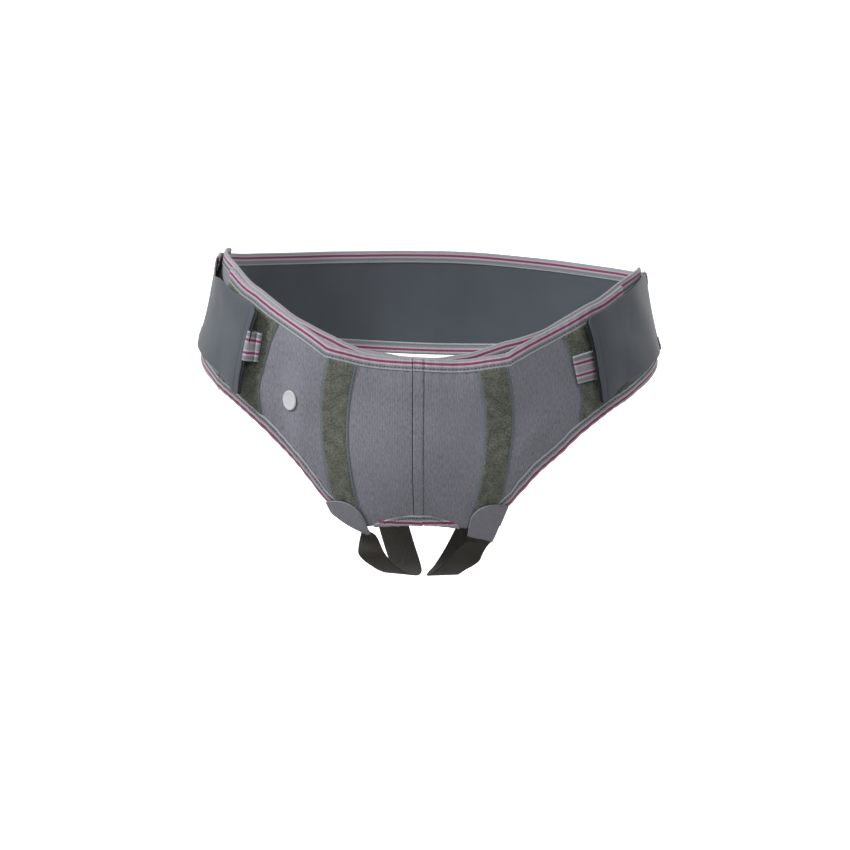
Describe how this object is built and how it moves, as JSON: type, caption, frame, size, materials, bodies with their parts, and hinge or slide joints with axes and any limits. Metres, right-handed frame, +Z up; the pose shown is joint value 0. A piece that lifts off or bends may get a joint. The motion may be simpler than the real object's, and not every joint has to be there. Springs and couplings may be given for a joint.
{
  "type": "hernia belt",
  "caption": "Worn inguinal support belt: two-ply knitted front with pad pockets, ribbon-bound edges, side wings over loop fields, a back belt and leg straps.",
  "frame": {"origin": "middle of the waist opening, level with the top edge of the front at the centre seam; the hips sit there", "axes": "+Z up as worn, the front faces -Y, +X toward the wearer's left"},
  "size_m": [0.4112, 0.2932, 0.2889],
  "materials": {
    "panel_knit": "matt ribbed knit, mid grey",
    "lining_knit": "matt soft knit, light grey",
    "loop_pile": "napped loop pile, olive grey",
    "slate_fabric": "smooth close-woven cloth, dark slate",
    "striped_ribbon": "grosgrain ribbon, pale grey with two magenta stripes",
    "elastic": "woven elastic, dark olive brown",
    "disc_plastic": "smooth white moulded plastic, satin"
  },
  "bodies": {
    "root": {"lining": "lining_knit", "lining_binding": "striped_ribbon", "front_panel_left": "panel_knit", "top_binding_left": "striped_ribbon", "front_panel_right": "panel_knit", "top_binding_right": "striped_ribbon", "leg_binding_left": "striped_ribbon", "leg_binding_right": "striped_ribbon", "arc_binding": "striped_ribbon", "loop_strip_left": "loop_pile", "loop_field_left": "loop_pile", "loop_strip_right": "loop_pile", "loop_field_right": "loop_pile", "wing_left": "slate_fabric", "wing_right": "slate_fabric", "pull_loop_left": "striped_ribbon", "pull_loop_right": "striped_ribbon", "back_belt": "slate_fabric", "back_top_binding": "striped_ribbon", "back_hem_binding": "striped_ribbon", "strap_tab_left": "panel_knit", "leg_strap_left": "elastic", "strap_tab_right": "panel_knit", "leg_strap_right": "elastic", "marker_disc": "disc_plastic"}
  },
  "joints": []
}
